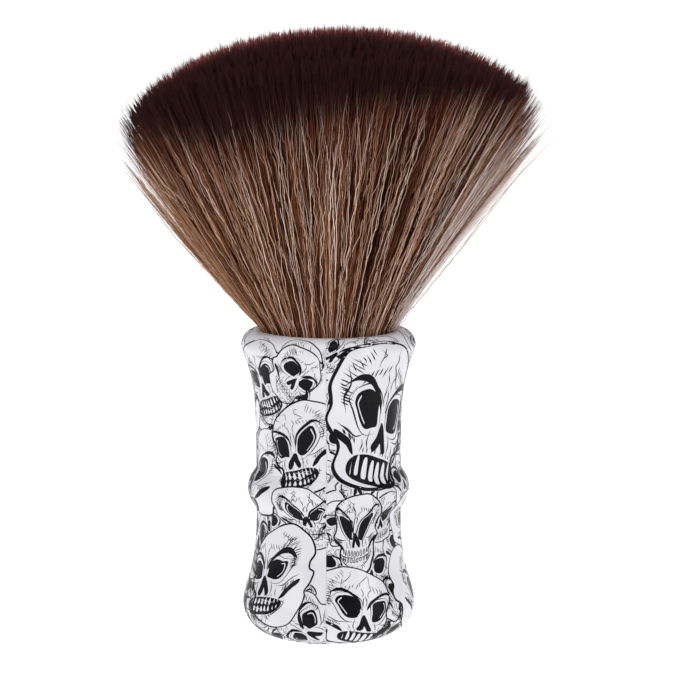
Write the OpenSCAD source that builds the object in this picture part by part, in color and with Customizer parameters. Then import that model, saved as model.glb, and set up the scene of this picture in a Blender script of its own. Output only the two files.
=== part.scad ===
// Neck duster brush: a waisted moulded handle with a printed film, and a fan of soft fibres
// potted in a cup that is glued into the handle's socket.
// Millimetres. +Z is up, the origin is the centre of the foot, and the fan is widest along X.

/* [Handle] */
// Height of the handle, from the foot to the top of the rim
handle_h = 78.6; // [62:0.2:100]
// Outer diameter of the waist, which the rest of the handle follows
waist_d = 37; // [30:0.2:46]
// How far the rim stands out from the waist
rim_flare = 3.7; // [1:0.1:6]
// Radius of the rim's outer edge, limited by the width of the lip
rim_round = 4.1; // [1:0.1:6]
// Length over which the rim's flare fades into the waist
rim_fade = 7.8; // [5:0.1:12]
// How far the base stands out from the waist
base_flare = 3.6; // [1:0.1:6]
// Radius of the rounded edge under the base
base_round = 7.5; // [4:0.1:9]
// Length over which the base's flare fades into the waist
base_fade = 9.7; // [5:0.1:12]
// Height of the middle of the grip ring
ring_z = 37.5; // [28:0.5:46]
// How far the grip ring stands out from the waist
ring_proud = 2.2; // [0.6:0.1:3.5]
// Height of the grip ring where it meets the waist
ring_h = 9.6; // [6:0.2:14]
// Wall of the handle around the lower cavity, at the waist
wall = 2.5; // [1.6:0.1:4]
// Thickness of the web between the cavity and the socket
web_t = 2.4; // [1.2:0.1:5]

/* [Printed film] */
// Thickness of the printed film
film_t = 0.12; // [0.08:0.01:0.3]
// Gap where the two ends of the film meet
film_gap = 0.15; // [0.05:0.05:1]
// Direction of the film's seam, round from +X
film_seam = -91.5; // [-180:0.5:180]

/* [Base cap] */
// Width of the ledge that the cap's flange sits on
cap_ledge = 0.9; // [0.5:0.1:1.5]
// Thickness of the cap's flange
cap_t = 2.2; // [1.6:0.1:4]
// Height of the cap's spigot above its flange
spigot_h = 4.5; // [2:0.1:8]
// Wall of the spigot
spigot_wall = 1.3; // [0.8:0.1:2.5]
// Number of crush ribs round the spigot
crush_ribs = 6; // [3:1:12]
// Running gap round the cap
cap_gap = 0.1; // [0.05:0.01:0.3]

/* [Knot socket] */
// Depth of the socket, from the top of the rim to the web
socket_depth = 24; // [20:0.5:34]
// Wall of the socket at the waist
socket_wall = 2.1; // [1.4:0.1:3.5]
// Thickness of the adhesive round and under the cup
glue_t = 0.2; // [0.1:0.05:0.5]
// Height that the adhesive climbs up the cup
glue_h = 9; // [4:0.5:12]
// Height of the knot cup
cup_h = 14; // [10:0.5:18]
// Wall of the knot cup
cup_wall = 0.9; // [0.6:0.1:1.6]
// Floor of the knot cup
cup_floor = 1.3; // [0.8:0.1:3]
// Depth of the potting resin in the cup
resin_h = 8; // [5:0.5:9]
// Diameter of the binding thread
thread_d = 0.6; // [0.4:0.05:0.9]
// Number of turns of the binding thread
thread_turns = 5; // [2:1:6]

/* [Spreader wedge] */
// Width of the wedge at its foot
wedge_foot_w = 4; // [3:0.5:8]
// Width of the wedge at its shoulder
wedge_top_w = 15; // [8:0.5:18]
// Thickness of the wedge, front to back
wedge_t = 5; // [3:0.5:8]
// Depth of the wedge in the resin
wedge_bite = 4; // [2:0.5:5]
// How far the wedge reaches above the rim
wedge_rise = 1; // [-4:0.5:8]

/* [Fibre fan] */
// Height of the fan above the rim
fan_h = 76.4; // [55:0.2:100]
// Width of the fan across its widest tips
fan_w = 107; // [80:1:140]
// Depth of the fan, front to back
fan_d = 57; // [40:1:90]
// Height of the crown, from the widest tips to the top
crown_h = 29.7; // [15:0.1:45]
// Fall of the crown from the top to its front edge
crown_front = 8; // [3:0.5:14]
// How early the flanks spread: under 1 spreads near the rim
splay = 0.9; // [0.7:0.05:1.3]
// Thickness of the layer of silver fibres on the flanks
silver_t = 0.6; // [0.3:0.1:1.5]
// Length of the silver fibres above the rim
silver_h = 41; // [20:0.5:45]

/* [Hidden] */

$fn = 96;
eps = 0.01;          // overlap of a cutter past the face that it cuts
rim_shape = 1.3;     // exponent of the rim's fade
base_shape = 1.75;   // exponent of the base's fade
ring_blend = 0.9;    // width of the soft corner beside the grip ring
side_steps = 72;     // points up the side of the handle
arc_steps = 10;      // points on each rounded edge
lip_share = 0.7;     // most of the lip's width that its outer edge may round
fibre_sides = 48;    // sides of the fibre solids
level_gap = 0.5;     // least height between the end of the silver layer and the next ring
thread_sides = 8;    // sides of the thread
thread_steps = 48;   // rings per turn of the thread
thread_gap = 0.03;   // gap between the thread and the fibres, and between its turns
mouth_clear = 0.35;  // gap between the fibres and the socket's mouth
groove_w = 1.2;      // width of the glue grooves round the cup
groove_d = 0.35;     // depth of the glue grooves round the cup
rib_r = 0.5;         // radius of a crush rib
wedge_tip_r = 2;     // radius of the wedge's shoulders

// Radii of the handle
waist_r = waist_d / 2;
rim_r = waist_r + rim_flare;
base_r = waist_r + base_flare;
cavity_r = waist_r - film_t - wall;
socket_r = waist_r - film_t - socket_wall;
lip_w = rim_r - socket_r;
lip_round = min(rim_round, lip_w * lip_share);
mouth_round = lip_w - lip_round;
rim_z = handle_h - lip_round;
shelf_z = handle_h - socket_depth;

// Cap, cup and knot
cap_r = cavity_r + cap_ledge - cap_gap;
spigot_r = cavity_r - cap_gap;
cup_r = socket_r - glue_t;
cup_z = shelf_z + glue_t;
cup_top = cup_z + cup_h;
resin_r = cup_r - cup_wall;
resin_z = cup_z + cup_floor;
root_z = resin_z + resin_h;
root_r = resin_r - thread_d - 2 * thread_gap;
thread_r = root_r + thread_gap + thread_d / 2;
thread_pitch = thread_d + thread_gap;

// Fan
mouth_z = handle_h - mouth_round;
neck_r = socket_r - mouth_clear;
exit_z = handle_h + mouth_clear;
exit_r = neck_r + mouth_round / 2;
fan_top = handle_h + fan_h;
wide_z = fan_top - crown_h;
shoulder_z = fan_top - crown_front;
silver_z = handle_h + silver_h;

// A value part of the way from a to b
function mix(a, b, t) = a + (b - a) * t;

// Fade of a flare at a distance s from its widest point
function fade(s, reach, shape) = exp(-pow(max(s, 0) / reach, shape));

// The larger of two radii, with a soft corner of width k between them
function soft_max(a, b, k) = max(a, b) + pow(max(k - abs(a - b), 0) / k, 2) * k / 4;

// Radius of the grip ring's circular bead at height z, or nothing beside the ring
bead_r = (pow(ring_h / 2, 2) + pow(ring_proud, 2)) / (2 * ring_proud);
function bead(z) =
    let (dz = abs(z - ring_z))
    dz >= bead_r ? 0 : waist_r + ring_proud - bead_r + sqrt(bead_r * bead_r - dz * dz);

// Outer radius of the handle's side at height z
function side_r(z) = soft_max(
    waist_r + rim_flare * fade(rim_z - z, rim_fade, rim_shape)
            + base_flare * fade(z - base_round, base_fade, base_shape),
    bead(z), ring_blend);

// Slope of the side at height z, which turns an inset along the normal into one along the radius
function side_slope(z) = (side_r(z + 0.05) - side_r(z - 0.05)) / 0.1;

// Points on an arc, as [radius, height]
function arc(cr, cz, r, a0, a1) =
    [for (i = [0:arc_steps]) let (a = mix(a0, a1, i / arc_steps)) [cr + r * cos(a), cz + r * sin(a)]];

// The handle's outline from the foot's edge up to the top of the rim, set in by a distance
function outline(inset, first_angle = -90) = concat(
    arc(base_r - base_round, base_round, base_round - inset, first_angle, 0),
    [for (i = [1:side_steps - 1])
        let (z = mix(base_round, rim_z, i / side_steps))
        [side_r(z) - inset * sqrt(1 + pow(side_slope(z), 2)), z]],
    arc(rim_r - lip_round, rim_z, lip_round - inset, 0, 90));

// Angle on the base's rounded edge at which it reaches a given radius
function base_angle(r, inset) = -acos((r - (base_r - base_round)) / (base_round - inset));

module handle_shell() {
    mouth = arc(socket_r + mouth_round, handle_h - mouth_round, mouth_round - film_t, 90, 180);
    color("ghostwhite")
    difference() {
        rotate_extrude() polygon(concat([[0, film_t]], outline(film_t), [[0, handle_h - film_t]]));
        translate([0, 0, -eps]) cylinder(r = cap_r + cap_gap, h = cap_t + eps);
        translate([0, 0, -eps]) cylinder(r = cavity_r, h = shelf_z - web_t + eps);
        translate([0, 0, shelf_z]) cylinder(r = socket_r, h = socket_depth + eps);
        mouth_cut(mouth);
    }
}

// The material above the socket's rounded mouth
module mouth_cut(mouth) {
    rotate_extrude()
        polygon(concat([[0, mouth_z], [0, handle_h + eps], [socket_r + mouth_round, handle_h + eps]], mouth));
}

// The film covers the handle from just outside the base cap to the top of the rim.
module print_film() {
    outer_start = base_angle(cap_r + cap_gap, 0);
    inner_start = base_angle(cap_r + cap_gap, film_t);
    inner = outline(film_t, inner_start);
    gap_angle = film_gap / waist_r * 180 / PI;
    color("gainsboro")
    rotate([0, 0, film_seam + gap_angle / 2])
    rotate_extrude(angle = 360 - gap_angle)
        polygon(concat(outline(0, outer_start), [for (i = [len(inner) - 1:-1:0]) inner[i]]));
}

// A flanged plug, pressed into the bottom of the cavity. Its underside is the foot.
module base_cap() {
    color("lightgray") {
        intersection() {
            rotate_extrude() polygon(concat([[0, 0]], outline(0), [[0, handle_h]]));
            cylinder(r = cap_r, h = cap_t);
        }
        translate([0, 0, cap_t])
        difference() {
            union() {
                cylinder(r = spigot_r - rib_r / 2, h = spigot_h);
                for (i = [0:crush_ribs - 1])
                    rotate([0, 0, i * 360 / crush_ribs])
                    translate([spigot_r - rib_r, 0, 0]) cylinder(r = rib_r, h = spigot_h, $fn = 24);
            }
            translate([0, 0, -eps]) cylinder(r = spigot_r - rib_r / 2 - spigot_wall, h = spigot_h + 2 * eps);
        }
    }
}

// The cup that the fibres are potted in, with two glue grooves round it
module knot_cup() {
    color("silver")
    difference() {
        translate([0, 0, cup_z]) cylinder(r = cup_r, h = cup_h);
        translate([0, 0, resin_z]) cylinder(r = resin_r, h = cup_h);
        for (share = [0.25, 0.6])
            translate([0, 0, cup_z + glue_h * share])
            difference() {
                cylinder(r = cup_r + eps, h = groove_w);
                translate([0, 0, -eps]) cylinder(r = cup_r - groove_d, h = groove_w + 2 * eps);
            }
    }
}

// The adhesive fills the gap under and round the cup, and the cup's grooves.
module cup_adhesive() {
    color("wheat")
    difference() {
        translate([0, 0, shelf_z]) cylinder(r = socket_r, h = glue_h + glue_t);
        knot_cup();
        translate([0, 0, resin_z - eps]) cylinder(r = resin_r + cup_wall / 4, h = cup_h);
    }
}

// The resin that the fibres and the wedge are potted in
module root_resin() {
    color("goldenrod")
    difference() {
        translate([0, 0, resin_z]) cylinder(r = resin_r, h = resin_h);
        spreader_wedge();
    }
}

// A closed solid through rings of points, with flat ends
module skin(rings) {
    n = len(rings[0]);
    m = len(rings);
    sides = [for (j = [0:m - 2], i = [0:n - 1])
        let (a = j * n + i, b = j * n + (i + 1) % n, c = a + n, d = b + n)
        each [[a, c, d], [a, d, b]]];
    ends = [[for (i = [0:n - 1]) i], [for (i = [n - 1:-1:0]) (m - 1) * n + i]];
    polyhedron([for (ring = rings) each ring], concat(sides, ends), convexity = 6);
}

// Centre of the thread at an angle round the knot
function thread_point(a) =
    [thread_r * cos(a), thread_r * sin(a), root_z + thread_d / 2 + thread_gap + thread_pitch * a / 360];

// A helix of thread round the roots, just above the resin
module binding_thread() {
    steps = thread_turns * thread_steps;
    color("dimgray")
    skin([for (j = [0:steps])
        let (a = j * 360 / thread_steps, p = thread_point(a))
        [for (i = [0:thread_sides - 1])
            let (b = i * 360 / thread_sides, out = thread_d / 2 * cos(b))
            [p.x + out * cos(a), p.y + out * sin(a), p.z + thread_d / 2 * sin(b)]]]);
}

// The wedge stands in the middle of the roots and pushes the fibres apart along X.
module spreader_wedge() {
    foot_z = root_z - wedge_bite;
    top_z = handle_h + wedge_rise;
    half_top = wedge_top_w / 2 - wedge_tip_r;
    shoulder = top_z - wedge_tip_r;
    right = [for (i = [0:arc_steps]) let (a = 90 * i / arc_steps)
        [half_top + wedge_tip_r * cos(a), shoulder + wedge_tip_r * sin(a)]];
    left = [for (i = [0:arc_steps]) let (a = 90 + 90 * i / arc_steps)
        [-half_top + wedge_tip_r * cos(a), shoulder + wedge_tip_r * sin(a)]];
    color("burlywood")
    rotate([90, 0, 0])
    linear_extrude(wedge_t, center = true)
        polygon(concat([[-wedge_foot_w / 2, foot_z], [wedge_foot_w / 2, foot_z]], right, left));
}

// Radius of the fibres inside the socket
function knot_r(z) =
    z <= cup_top ? root_r
    : z <= mouth_z ? mix(root_r, neck_r, (z - cup_top) / (mouth_z - cup_top))
    : mix(neck_r, exit_r, (z - mouth_z) / (exit_z - mouth_z));

// Half the fan's width along X, and half its depth along Y, at height z
function half_w(z) =
    z <= exit_z ? knot_r(z)
    : z <= wide_z ? mix(exit_r, fan_w / 2, pow((z - exit_z) / (wide_z - exit_z), splay))
    : fan_w / 2 * sqrt(max(1 - pow((z - wide_z) / crown_h, 2), 0));
function half_d(z) =
    z <= exit_z ? knot_r(z)
    : z <= shoulder_z ? mix(exit_r, fan_d / 2, pow((z - exit_z) / (shoulder_z - exit_z), splay))
    : fan_d / 2 * sqrt(max((fan_top - z) / crown_front, 0));

// An oval ring of the fan at height z, set in by a distance
function fan_ring(z, inset) =
    [for (i = [0:fibre_sides - 1]) let (a = i * 360 / fibre_sides)
        [max(half_w(z) - inset, 0.3) * cos(a), max(half_d(z) - inset, 0.3) * sin(a), z]];

// Heights of the rings: up the socket, up the flank, and over the crown. Both fibre solids share
// them, and one ring is moved to the end of the silver layer, so that the solids meet face to face.
socket_levels = [root_z, cup_top, mouth_z, exit_z];
flank_levels = [for (i = [1:12]) mix(exit_z, wide_z, i / 12)];
crown_levels = [for (a = [10:8:82]) wide_z + crown_h * sin(a)];
plain_levels = concat(socket_levels, flank_levels, crown_levels, [fan_top - 0.1, fan_top]);
low_levels = [for (z = plain_levels) if (z < silver_z - level_gap) z];
high_levels = [for (z = plain_levels) if (z > silver_z + level_gap) z];

// The brown fibres with their dyed tips, as one solid
module fibre_bundle() {
    color("saddlebrown")
    difference() {
        skin([for (z = concat(low_levels, [silver_z], high_levels)) fan_ring(z, silver_t)]);
        spreader_wedge();
    }
}

// The silver fibres that lie on the flanks
module silver_fibre_layer() {
    inner = concat([root_z - eps], low_levels, [silver_z, silver_z + eps]);
    color("thistle")
    difference() {
        skin([for (z = concat(low_levels, [silver_z])) fan_ring(z, 0)]);
        skin([for (z = inner) fan_ring(z, silver_t)]);
    }
}

handle_shell();
print_film();
base_cap();
knot_cup();
cup_adhesive();
root_resin();
binding_thread();
spreader_wedge();
fibre_bundle();
silver_fibre_layer();
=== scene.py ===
"""A barber's neck duster brush on a pale studio floor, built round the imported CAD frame."""
import math

import bpy
import numpy as np
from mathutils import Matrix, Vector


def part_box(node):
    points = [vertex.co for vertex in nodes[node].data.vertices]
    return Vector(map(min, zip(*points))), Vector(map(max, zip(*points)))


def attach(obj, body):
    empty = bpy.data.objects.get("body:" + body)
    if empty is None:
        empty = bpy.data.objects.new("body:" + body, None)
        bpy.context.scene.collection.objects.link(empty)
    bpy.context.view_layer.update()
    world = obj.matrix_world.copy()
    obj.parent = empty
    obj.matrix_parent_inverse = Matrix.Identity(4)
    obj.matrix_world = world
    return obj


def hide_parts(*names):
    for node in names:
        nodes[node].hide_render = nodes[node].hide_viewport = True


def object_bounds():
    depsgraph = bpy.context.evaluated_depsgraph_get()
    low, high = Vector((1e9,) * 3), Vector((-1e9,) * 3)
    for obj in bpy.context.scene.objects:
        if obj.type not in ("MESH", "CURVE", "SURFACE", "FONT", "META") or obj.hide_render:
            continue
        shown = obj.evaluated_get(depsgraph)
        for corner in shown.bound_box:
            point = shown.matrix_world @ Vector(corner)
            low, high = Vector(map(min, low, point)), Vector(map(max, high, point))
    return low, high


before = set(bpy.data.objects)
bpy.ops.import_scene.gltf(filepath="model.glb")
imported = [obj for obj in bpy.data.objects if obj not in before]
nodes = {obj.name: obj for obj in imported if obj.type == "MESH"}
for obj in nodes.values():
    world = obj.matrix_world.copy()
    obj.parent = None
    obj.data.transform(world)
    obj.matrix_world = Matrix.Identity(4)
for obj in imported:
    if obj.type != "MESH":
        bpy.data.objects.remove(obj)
cad_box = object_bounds()
MM = 0.001
bpy.ops.object.select_all(action="DESELECT")


# The camera stands level with the top of the fan and looks down a little at the handle.
# It is a long lens about half a metre away, a few millimetres to the right of the handle's axis.
eye_distance = 561 * MM
eye_rise = 3.5 * MM
eye_aside = 2.8 * MM
eye_tilt = math.radians(8.4)
fan_top = cad_box[1].z
bpy.ops.object.camera_add(
    location=(eye_aside, -eye_distance, fan_top + eye_rise),
    rotation=(math.pi / 2 - eye_tilt, 0, 0),
)
camera = bpy.context.object
camera.data.lens = 117.9
camera.data.sensor_width = 36
camera.data.clip_start = 0.02
bpy.context.scene.camera = camera
bpy.context.scene.view_settings.view_transform = "Standard"


# The studio: a white sweep, a dim surround and three large soft lamps.
# The lamps stand left, right and overhead, so the glossy handle has soft bright sides.
def soft_lamp(name, place, size, power):
    bpy.ops.object.light_add(type="AREA", location=place)
    lamp = bpy.context.object
    lamp.name = name
    lamp.data.shape = "RECTANGLE"
    lamp.data.size, lamp.data.size_y = size
    lamp.data.energy = power
    aim = -lamp.location
    aim.z += fan_top / 2
    lamp.rotation_euler = aim.to_track_quat("-Z", "Y").to_euler()


soft_lamp("left_lamp", (-0.95, -0.75, 0.55), (0.7, 0.9), 4.2)
soft_lamp("right_lamp", (1.0, -0.6, 0.45), (0.6, 0.9), 3.6)
soft_lamp("top_lamp", (0.05, -0.25, 1.1), (0.9, 0.7), 3.2)

world = bpy.data.worlds.new("studio_surround")
bpy.context.scene.world = world
world.use_nodes = True
surround = world.node_tree.nodes["Background"]
surround.inputs["Color"].default_value = (1, 1, 1, 1)
backdrop = world.node_tree.nodes.new("ShaderNodeBackground")
backdrop.inputs["Color"].default_value = (1, 1, 1, 1)
backdrop.inputs["Strength"].default_value = 1.1
surround.inputs["Strength"].default_value = 0.42
pick = world.node_tree.nodes.new("ShaderNodeMixShader")
rays = world.node_tree.nodes.new("ShaderNodeLightPath")
world.node_tree.links.new(rays.outputs["Is Camera Ray"], pick.inputs[0])
world.node_tree.links.new(surround.outputs[0], pick.inputs[1])
world.node_tree.links.new(backdrop.outputs[0], pick.inputs[2])
world.node_tree.links.new(pick.outputs[0], world.node_tree.nodes["World Output"].inputs["Surface"])


# Material maths: a Wire is a value that runs through a finish's nodes, and a Finish is one
# material with its Principled shader. A colour is given as printed, from 0 to 255.
class Wire:
    def __init__(self, finish, socket):
        self.finish = finish
        self.socket = socket

    def math(self, operation, other=0.0, swap=False):
        pair = (other, self) if swap else (self, other)
        return self.finish.add("Math", {"operation": operation}, {0: pair[0], 1: pair[1]})

    def __add__(self, other):
        return self.math("ADD", other)

    def __sub__(self, other):
        return self.math("SUBTRACT", other)

    def __rsub__(self, other):
        return self.math("SUBTRACT", other, swap=True)

    def __mul__(self, other):
        return self.math("MULTIPLY", other)

    def __truediv__(self, other):
        return self.math("DIVIDE", other)

    __radd__, __rmul__ = __add__, __mul__


def tint(red, green, blue):
    """A printed colour as the linear one that a shader takes."""
    linear = [c / 255 / 12.92 if c < 10.3 else ((c / 255 + 0.055) / 1.055) ** 2.4 for c in (red, green, blue)]
    return (*linear, 1.0)


class Finish:
    def __init__(self, name, **fixed):
        self.material = bpy.data.materials.new(name)
        self.material.use_nodes = True
        self.tree = self.material.node_tree
        self.shader = self.tree.nodes["Principled BSDF"]
        self.feed(self.shader, {key.replace("_", " "): value for key, value in fixed.items()})

    def feed(self, node, inputs):
        """Gives a node's sockets their values or links."""
        for key, value in inputs.items():
            if isinstance(value, Wire):
                self.tree.links.new(value.socket, node.inputs[key])
            else:
                node.inputs[key].default_value = value

    def add(self, kind, settings=None, inputs=None, output=0):
        """A node of any kind, with its settings first and then what its sockets take."""
        node = self.tree.nodes.new("ShaderNode" + kind)
        for key, value in (settings or {}).items():
            if key == "stops":
                for place, colour in value[:-2]:
                    node.color_ramp.elements.new(place)
                for stop, (place, colour) in zip(node.color_ramp.elements, value):
                    stop.position, stop.color = place, colour
            else:
                setattr(node, key, value)
        self.feed(node, inputs or {})
        return Wire(self, node.outputs[output])

    def place(self):
        return self.add("TexCoord", output="Object")

    def noise(self, place, scale, detail=2.0, roughness=0.5):
        inputs = {"Vector": place, "Scale": scale, "Detail": detail, "Roughness": roughness}
        return self.add("TexNoise", {}, inputs)

    def ramp(self, share, stops):
        return self.add("ValToRGB", {"stops": stops}, {"Fac": share})

    def blend(self, share, first, second):
        return self.add("Mix", {"data_type": "RGBA"}, {0: share, 6: first, 7: second}, output=2)

    def stretch(self, place, scale):
        return self.add("Mapping", {}, {"Vector": place, "Scale": scale})

    def bump(self, height, distance, strength=1.0):
        return self.add("Bump", {}, {"Height": height, "Distance": distance, "Strength": strength})

    def show(self, **sockets):
        """What the finish's own shader shows."""
        self.feed(self.shader, {key.replace("_", " "): value for key, value in sockets.items()})
        return self


def dress(node, finish):
    """Gives a CAD node its finish."""
    piece = nodes[node]
    if not piece.material_slots:
        piece.data.materials.append(finish.material)
    piece.material_slots[0].material = finish.material


# The sweep that the brush stands on: a plain pale sheet. Most of its brightness is its own, so
# the shadow round the brush's foot stays faint.
bpy.ops.mesh.primitive_plane_add(size=8, location=(0, 0, -0.02 * MM))
floor = bpy.context.object
floor.name = "floor"
sweep = Finish("pale_sweep", Base_Color=tint(140, 140, 141), Roughness=0.9,
               Emission_Color=tint(255, 255, 255), Emission_Strength=0.93)
floor.data.materials.append(sweep.material)


# The handle: white ABS, moulded hollow, with the printed film wrapped round it.
# The film is white and glossy under its clear coat, with a faint ripple from the wrapping.
white_plastic = Finish("white_moulded_plastic", Roughness=0.35, Coat_Weight=0.2)
spot = white_plastic.place()
mottle = white_plastic.noise(spot, 240, 3)
white_plastic.show(
    Base_Color=white_plastic.ramp(mottle, [(0.3, tint(222, 222, 224)), (0.7, tint(232, 232, 233))]),
    Roughness=mottle * 0.12 + 0.3,
    Normal=white_plastic.bump(white_plastic.noise(spot, 900, 2), 0.02 * MM, 0.3),
)
dress("handle_shell", white_plastic)

film = Finish("printed_white_film", Coat_Weight=0.55, Coat_Roughness=0.09, Specular_IOR_Level=0.4)
spot = film.place()
cloud = film.noise(spot, 55, 2)
grain = film.noise(spot, 1500, 2)
film.show(
    Base_Color=film.ramp(cloud, [(0.3, tint(218, 217, 223)), (0.72, tint(230, 229, 233))]),
    Roughness=grain * 0.1 + 0.27,
    Normal=film.bump(cloud, 0.12 * MM, 0.5),
)
dress("print_film", film)


# The drawing on the film: black ink line art of skulls, drawn here as a flat sheet one turn
# wide and then wrapped. Each skull is inked over the ones before it, with pen strokes that
# swell and taper, and the sheet's two ends meet at the front without matching.
def film_outline():
    """The way along the film's outer face, from its lower edge to its rim, with radius and height there."""
    mesh = nodes["print_film"].data
    co = np.empty(len(mesh.vertices) * 3)
    mesh.vertices.foreach_get("co", co)
    co = co.reshape(-1, 3)
    seen = set()
    round_base, round_rim = 12 * MM, 8 * MM
    for face in mesh.polygons:
        middle = face.center
        inside = min(max(middle.z, round_base), rim_top - round_rim)
        out = np.array([middle.x, middle.y, middle.z - inside])
        if np.dot(out, face.normal) > 0.3 * np.linalg.norm(out):
            seen.update(face.vertices)
    ring = co[sorted(seen)]
    pairs = np.unique(np.round(np.stack([ring[:, 2], np.hypot(ring[:, 0], ring[:, 1])], -1), 6), axis=0)
    keep = np.concatenate([[True], np.diff(pairs[:, 0]) > 2e-6])
    height, radius = pairs[keep].T
    way = np.concatenate([[0], np.cumsum(np.hypot(np.diff(height), np.diff(radius)))])
    return way, radius, height


rim_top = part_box("handle_shell")[1].z
film_seam = math.radians(-91.5)
way_along, film_radius, film_height = film_outline()
sheet_radius = 20
sheet_width = 2 * math.pi * sheet_radius
sheet_height = way_along[-1] / MM
ink_lift, ink_sink = 0.018 * MM, 0.03 * MM


def wrap(u, v):
    """Place on the film and its outward normal, for places on the flat sheet in millimetres."""
    turn = film_seam + u / sheet_width * 2 * np.pi
    s = np.clip(v, 0, sheet_height) * MM
    edge, probe = 0.05 * MM, 0.3 * MM
    near = np.clip(s, edge, way_along[-1] - edge)
    radius, height = np.interp(s, way_along, film_radius), np.interp(s, way_along, film_height)
    slope = [np.interp(near + probe, way_along, line) - np.interp(near - probe, way_along, line)
             for line in (film_radius, film_height)]
    size = np.hypot(*slope)
    out, up = slope[1] / size, -slope[0] / size
    place = np.stack([radius * np.cos(turn), radius * np.sin(turn), height], -1)
    return place, np.stack([out * np.cos(turn), out * np.sin(turn), up], -1)


def curve(points, closed=False, fine=7):
    """A smooth line through a few points."""
    p = np.asarray(points, float)
    before, after = (p[-1:], p[:2]) if closed else (2 * p[:1] - p[1:2], 2 * p[-1:] - p[-2:-1])
    ends = np.vstack([before, p, after])
    t = np.linspace(0, 1, fine, endpoint=False)[:, None]
    parts = [0.5 * (2 * b + (c - a) * t + (2 * a - 5 * b + 4 * c - d) * t**2 + (3 * b - a - 3 * c + d) * t**3)
             for a, b, c, d in zip(ends, ends[1:], ends[2:], ends[3:])]
    return np.vstack(parts + ([] if closed else [p[-1:]]))


def within(outline, spots):
    """True for each spot that lies inside a closed outline."""
    (ax, ay), (bx, by) = outline.T[:, None], np.roll(outline, -1, axis=0).T[:, None]
    x, y = spots[:, :1], spots[:, 1:]
    rise = np.where(by == ay, 1, by - ay)
    return (((ay > y) != (by > y)) & (x < (bx - ax) * (y - ay) / rise + ax)).sum(1) % 2 == 1


def spans(outline, v):
    """Where a level line at v runs inside a closed outline, as pairs."""
    a, b = outline, np.roll(outline, -1, axis=0)
    hit = (a[:, 1] > v) != (b[:, 1] > v)
    a, b = a[hit], b[hit]
    cross = np.sort(a[:, 0] + (v - a[:, 1]) / (b[:, 1] - a[:, 1]) * (b[:, 0] - a[:, 0]))
    return list(zip(cross[::2], cross[1::2]))


def without(pieces, holes):
    """Pairs with other pairs taken out of them."""
    for low, high in holes:
        left = []
        for a, b in pieces:
            if high <= a or low >= b:
                left.append((a, b))
            else:
                left += [(x, y) for x, y in ((a, low), (high, b)) if y > x]
        pieces = left
    return pieces


class Drawing:
    """Ink on the flat sheet. Each figure hides what lies under its outline."""

    def __init__(self):
        self.figures = []

    def figure(self, outline):
        self.figures.append({"outline": outline, "strokes": [], "fills": []})

    def stroke(self, points, width, taper=True):
        self.figures[-1]["strokes"].append((points, width, taper))

    def fill(self, outline, holes=()):
        self.figures[-1]["fills"].append((outline, list(holes)))

    def bars(self):
        """Everything that shows, as bars, each given by its two edges."""
        made = []
        self.lows = np.array([figure["outline"].min(0) for figure in self.figures])
        self.highs = np.array([figure["outline"].max(0) for figure in self.figures])
        for index, figure in enumerate(self.figures):
            for points, width, taper in figure["strokes"]:
                made += self.pen(points, width, taper, self.over(points, index))
            for outline, holes in figure["fills"]:
                made += self.brush(outline, holes, self.over(outline, index))
        return made

    def over(self, points, index):
        """The outlines of later figures that come near some points."""
        low, high = points.min(0) - 0.5, points.max(0) + 0.5
        near = ((self.lows[index + 1:] < high) & (self.highs[index + 1:] > low)).all(1)
        return [self.figures[index + 1 + i]["outline"] for i in np.flatnonzero(near)]

    def pen(self, points, width, taper, above):
        """One stroke as bars: it swells and narrows on its way, and stops where a later figure covers it."""
        gaps = np.hypot(*np.diff(points, axis=0).T)
        way = np.concatenate([[0], np.cumsum(gaps)])
        if way[-1] < 0.15:
            return []
        count = max(3, int(way[-1] / (0.26 + 0.24 * min(1, way[-1] / 10))))
        at = np.linspace(0, way[-1], count)
        line = np.stack([np.interp(at, way, points[:, i]) for i in (0, 1)], -1)
        share = at / way[-1]
        swell = 0.78 + 0.3 * np.sin(way[-1] * 1.7 + share * 4.3) * np.sin(share * 7.1 + way[-1])
        if taper:
            swell = swell * np.clip(3.2 * np.minimum(share, 1 - share), 0.18, 1)
        run = np.gradient(line, axis=0)
        run /= np.hypot(*run.T)[:, None] + 1e-9
        half = np.stack([-run[:, 1], run[:, 0]], -1) * (width * swell / 2)[:, None]
        seen = (line[:, 0] > 0) & (line[:, 0] < sheet_width) & (line[:, 1] > 0) & (line[:, 1] < sheet_height)
        for outline in above:
            seen &= ~within(outline, line)
        runs = np.split(np.arange(count), np.where(np.diff(seen.astype(int)))[0] + 1)
        return [(line[r] + half[r], line[r] - half[r]) for r in runs if seen[r[0]] and len(r) > 1]

    def brush(self, outline, holes, above):
        """A filled shape as level bars, one row above another."""
        made, row = [], 0.14
        low, high = max(outline[:, 1].min(), 0), min(outline[:, 1].max(), sheet_height)
        rows = np.arange(low + 0.01, high, row)

        def clear(v):
            left = without(spans(outline, v), [s for hole in holes for s in spans(hole, v)])
            left = without(left, [s for shape in above for s in spans(shape, v)])
            return without(left, [(-1e3, 0), (sheet_width, 1e3)])

        before = clear(rows[0]) if len(rows) else []
        for v in rows[1:]:
            after = clear(v)
            if len(before) == len(after):
                pairs = zip(before, after)
            else:
                level = clear(v - row / 2)
                pairs = zip(level, level)
            for (a, b), (c, d) in pairs:
                if max(b - a, d - c) > 0.02 and min(b, d) > max(a, c) - 0.4:
                    steps = max(2, int(max(b - a, d - c) / 0.9) + 1)
                    share = np.linspace(0, 1, steps)
                    top = np.stack([c + (d - c) * share, np.full(steps, v)], -1)
                    foot = np.stack([a + (b - a) * share, np.full(steps, v - row)], -1)
                    made.append((top, foot))
            before = after
        return made


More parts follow.
